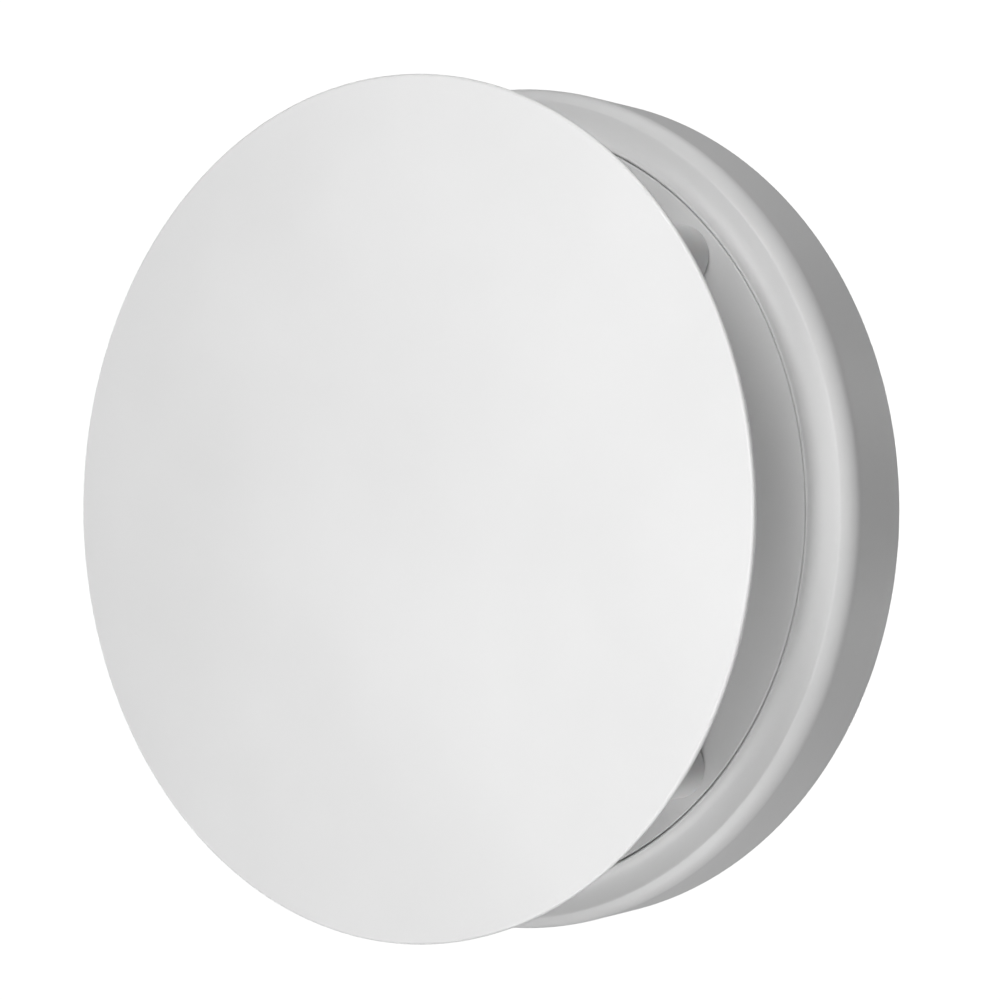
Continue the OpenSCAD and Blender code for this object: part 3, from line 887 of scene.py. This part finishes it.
def makeWasher():
    bottom, top = low("thrust_washer"), high("thrust_washer")
    bore, radius, e = washer["bore"], washer["radius"], washer["ease"]
    outline = [(bore, bottom + e), (bore + e, bottom), (radius - e, bottom), (radius, bottom + e)]
    outline += [(radius, top - e), (radius - e, top), (bore + e, top), (bore, top - e)]
    return lathe("thrustWasher", outline, 64)


finishPiece(makeWasher(), "housing", "washer_brass", "thrust_washer")

spindle = {
    "radius": 4.0, "root": 3.3, "pitch": 3.0, "threadLow": -42.5, "threadHigh": -1.0,
    "collar": 6.5, "collarLow": 2.3, "collarHigh": 4.2, "groove": 3.2, "grooveLow": 15.0, "grooveHigh": 16.1,
    "flank": 0.36, "crestStart": 0.50, "crestEnd": 0.86,   # the thread's outline, as parts of its pitch
    "overlap": 0.5, "tailShoulder": 0.2, "headShoulder": 0.3, "tailEdge": 0.4, "headEdge": 0.5,
    "collarEdge": 0.3, "circlipEdge": 0.12,
}


def makeThread():
    # One pitch of a trapezoidal outline, wound up a right-hand helix and cut square at both ends
    s = spindle
    p, begin = s["pitch"], s["threadLow"] - s["pitch"]
    outline = [(s["root"], 0), (s["root"], s["flank"]), (s["radius"], s["crestStart"])]
    outline += [(s["radius"], s["crestEnd"]), (s["root"], 1)]
    nothingSelected()
    bpy.ops.mesh.primitive_plane_add(size=mm, location=(outline[0][0] * mm, 0, begin * mm))
    piece = bpy.context.object
    bpy.ops.object.transform_apply(location=True)
    bpy.ops.object.mode_set(mode="EDIT")
    bpy.ops.mesh.select_all(action="SELECT")
    bpy.ops.mesh.merge(type="CENTER")
    for here, there in zip(outline, outline[1:]):
        bpy.ops.mesh.extrude_vertices_move(
            TRANSFORM_OT_translate={"value": ((there[0] - here[0]) * mm, 0, (there[1] - here[1]) * p * mm)})
    bpy.ops.object.mode_set(mode="OBJECT")
    turns = math.ceil((s["threadHigh"] - begin) / p) + 1
    applied(piece, "SCREW", angle=math.tau, screw_offset=p * mm, iterations=turns, steps=40,
            render_steps=40, axis="Z", use_merge_vertices=False)
    bpy.ops.object.mode_set(mode="EDIT")
    bpy.ops.mesh.select_all(action="SELECT")
    bpy.ops.mesh.remove_doubles(threshold=0.004 * mm)
    for height, upward in ((s["threadLow"], -1), (s["threadHigh"], 1)):
        bpy.ops.mesh.select_all(action="SELECT")
        bpy.ops.mesh.bisect(plane_co=(0, 0, height * mm), plane_no=(0, 0, upward), use_fill=True,
                            clear_outer=True)
    bpy.ops.mesh.select_all(action="SELECT")
    bpy.ops.mesh.normals_make_consistent(inside=False)
    bpy.ops.object.mode_set(mode="OBJECT")
    return piece


def makeSpindle():
    s = spindle
    bottom, top = low("spindle"), high("spindle")
    radius, root, collar, e = s["radius"], s["root"], s["collar"], s["collarEdge"]
    tailEnd, headStart = s["threadLow"] + s["overlap"], s["threadHigh"] - s["overlap"]
    lower = [(0, bottom), (radius - s["tailEdge"], bottom), (radius, bottom + s["tailEdge"])]
    lower += [(radius, s["threadLow"] - s["tailShoulder"]), (root, tailEnd), (0, tailEnd)]
    upper = [(0, headStart), (root, headStart), (radius, s["threadHigh"] + s["headShoulder"])]
    upper += [(radius, s["collarLow"]), (collar - e, s["collarLow"]), (collar, s["collarLow"] + e)]
    upper += [(collar, s["collarHigh"] - e), (collar - e, s["collarHigh"]), (radius, s["collarHigh"])]
    upper += [(radius, s["grooveLow"]), (s["groove"], s["grooveLow"]), (s["groove"], s["grooveHigh"])]
    upper += [(radius, s["grooveHigh"]), (radius, top - s["headEdge"])]
    upper += [(radius - s["headEdge"], top), (0, top)]
    tail = lathe("spindleTail", lower, 64, closed=False)
    return joined("spindle", [makeThread(), tail, lathe("spindleHead", upper, 64, closed=False)])


finishPiece(makeSpindle(), "spindle", "bright_steel", "spindle")
finishPiece(bevelled(fromNode("spindle_circlip", "spindleCirclip"), spindle["circlipEdge"], 2), "spindle",
            "blackened_steel", "spindle_circlip")

knob = {"edge": 0.45, "pinEdge": 0.15}
finishPiece(bevelled(fromNode("adjusting_knob", "adjustingKnob"), knob["edge"], 2, 40), "spindle",
            "dark_plastic", "adjusting_knob")
finishPiece(bevelled(fromNode("knob_pin", "knobPin"), knob["pinEdge"], 2), "spindle", "zinc_steel",
            "knob_pin")
print("bridge, spindle and knob made")

# Throttle disc with its nut, seal and guide rods

throttle = {
    "radius": 60.5, "sheet": 1.2, "rise": 7.0, "bore": 6.0, "ease": 0.15, "flat": 14.0, "blend": 2,
    "blendLow": (0.15, 0.45), "blendHigh": (0.1, 0.4),   # drop at the flat's edge and past it, both faces
    "knee": 36, "kneeDrop": 3.4, "roll": 0.75, "rimIn": 3, "lipIn": 1.2, "lipRise": 1.75, "nutEdge": 0.3,
}


def makeThrottle():
    t = throttle
    z, sheet, ease, blend = low("throttle_disc"), t["sheet"], t["ease"], t["blend"]
    top = z + t["rise"]
    back = top + sheet
    rimR, rimZ = t["radius"] - t["roll"], z + t["roll"]
    outline = [(t["bore"], top + ease), (t["bore"] + ease, top), (t["flat"] - blend, top)]
    outline += [(t["flat"], top - t["blendLow"][0]), (t["flat"] + blend, top - t["blendLow"][1])]
    outline += [(t["knee"], top - t["kneeDrop"]), (rimR - t["rimIn"], rimZ)]
    outline += arc((rimR, rimZ), (t["roll"], t["roll"]), -110, 80, 8)
    outline += [(rimR - t["lipIn"], z + t["lipRise"]), (rimR - t["rimIn"], rimZ + sheet)]
    outline += [(t["knee"], back - t["kneeDrop"]), (t["flat"] + blend, back - t["blendHigh"][1])]
    outline += [(t["flat"], back - t["blendHigh"][0]), (t["flat"] - blend, back)]
    outline += [(t["bore"] + ease, back), (t["bore"], back - ease)]
    return lathe("throttleDisc", outline, 240)


finishPiece(makeThrottle(), "throttle", "powder_white", "throttle_disc")


throttleSeal = {
    "edge": 0.2,
    # radius, and height above the throttle disc's lowest point
    "outline": [(55.0, 3.1), (59.1, 2.2), (59.7, 2.5), (59.3, 4.0), (58.8, 4.3), (55.5, 5.1), (55.0, 4.7)],
}


def makeThrottleSeal():
    z = low("throttle_disc")
    outline = [(radius, z + height) for radius, height in throttleSeal["outline"]]
    return bevelled(lathe("throttleSeal", outline, 192), throttleSeal["edge"], 2, 25)


finishPiece(makeThrottleSeal(), "throttle", "sound_foam", "throttle_seal")
finishPiece(bevelled(fromNode("throttle_nut", "throttleNut"), throttle["nutEdge"], 2), "throttle",
            "bearing_plastic", "throttle_nut")


guideRod = {
    "circle": 28, "radius": 2.0, "tipEase": 0.6, "tailEnd": 3.2, "tailDome": 0.8, "tailOut": 1.2,
    "tailSeat": 4.9, "tailEase": 0.2, "collarLow": 6.8, "collarHigh": 9.5, "collarOut": 1.5,
    "lowEase": 0.2, "highEase": 0.3,
}


def makeGuideRod():
    # Riveted into the disc below its collar; heights are above the throttle disc's lowest point
    g = guideRod
    z, top, r = low("throttle_disc"), high("guide_rods"), g["radius"]
    domeLow, seat, collarLow, collarHigh = (z + g[name] for name in ("tailEnd", "tailSeat", "collarLow",
                                                                      "collarHigh"))
    collar, lowEase, highEase = r + g["collarOut"], g["lowEase"], g["highEase"]
    outline = [(0, domeLow)] + arc((r, domeLow + g["tailDome"]), (g["tailOut"], -g["tailDome"]), 90, 0, 5)
    outline += [(r + g["tailOut"], seat - g["tailEase"]), (r, seat), (r, collarLow)]
    outline += [(collar - lowEase, collarLow), (collar, collarLow + lowEase)]
    outline += [(collar, collarHigh - highEase), (collar - highEase, collarHigh), (r, collarHigh)]
    outline += [(r, top - g["tipEase"]), (r - g["tipEase"], top), (0, top)]
    return lathe("guideRod", outline, 40, closed=False)


finishPiece(joined("guideRods", spread(makeGuideRod(), 2, guideRod["circle"])), "throttle", "zinc_steel",
            "guide_rods")
print("throttle made")

# Hidden pieces keep their CAD shape and only take their finish

slotOf = {part["node"]: part["material_slot"] for part in frame["record"]["subparts"]}
for name, node in frame["nodes"].items():
    node.data.materials.clear()
    node.data.materials.append(finishes[slotOf[name]])
